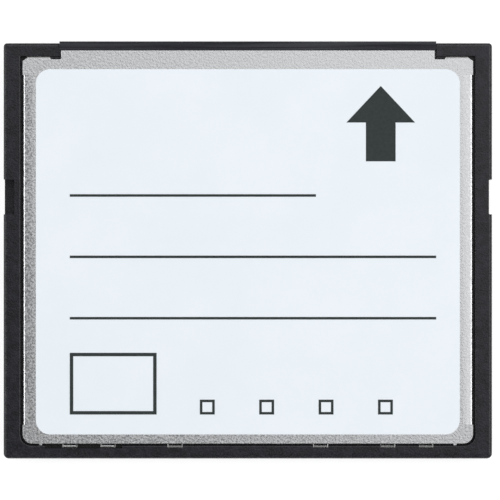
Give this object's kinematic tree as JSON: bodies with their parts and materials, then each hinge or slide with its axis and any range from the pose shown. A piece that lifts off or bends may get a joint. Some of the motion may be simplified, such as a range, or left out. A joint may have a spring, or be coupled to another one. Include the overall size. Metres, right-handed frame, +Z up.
{
  "type": "compact flash card",
  "caption": "Flat removable memory card: plastic frame, steel covers with white labels, a socket connector along one edge, and the board with its chips inside",
  "frame": {"origin": "centre of the underside, where the card rests on its lower label", "axes": "+Z is up, out of the pictured face; +Y points to the connector edge; +X is to the right"},
  "size_m": [0.0428, 0.0366, 0.0033],
  "materials": {
    "frame_plastic": "fine moulded texture",
    "connector_plastic": "smooth moulding",
    "cover_steel": "fine speckled grain",
    "label_film": "satin white label",
    "label_ink": "dark grey print",
    "contact_metal": "plated",
    "board_laminate": "solder mask",
    "chip_moulding": "matt",
    "lead_metal": "tinned",
    "can_metal": "satin",
    "tantalum_case": "moulded",
    "capacitor_ceramic": "plain",
    "resistor_ceramic": "plain",
    "insulating_film": "thin film"
  },
  "bodies": {
    "root": {"frame": "frame_plastic", "top_cover": "cover_steel", "bottom_cover": "cover_steel", "top_label": "label_film", "bottom_label": "label_film", "write_lines": "label_ink", "insertion_arrow": "label_ink", "date_box": "label_ink", "tick_boxes": "label_ink", "connector_housing": "connector_plastic", "upper_contacts": "contact_metal", "lower_contacts": "contact_metal", "circuit_board": "board_laminate", "flash_chip_top": "chip_moulding", "flash_leads_top": "lead_metal", "flash_chip_bottom": "chip_moulding", "flash_leads_bottom": "lead_metal", "controller_chip": "chip_moulding", "controller_leads": "lead_metal", "voltage_regulator": "chip_moulding", "regulator_leads": "lead_metal", "crystal": "can_metal", "tantalum_capacitor": "tantalum_case", "ceramic_capacitors": "capacitor_ceramic", "chip_resistors": "resistor_ceramic", "top_film": "insulating_film", "bottom_film": "insulating_film"}
  },
  "joints": []
}
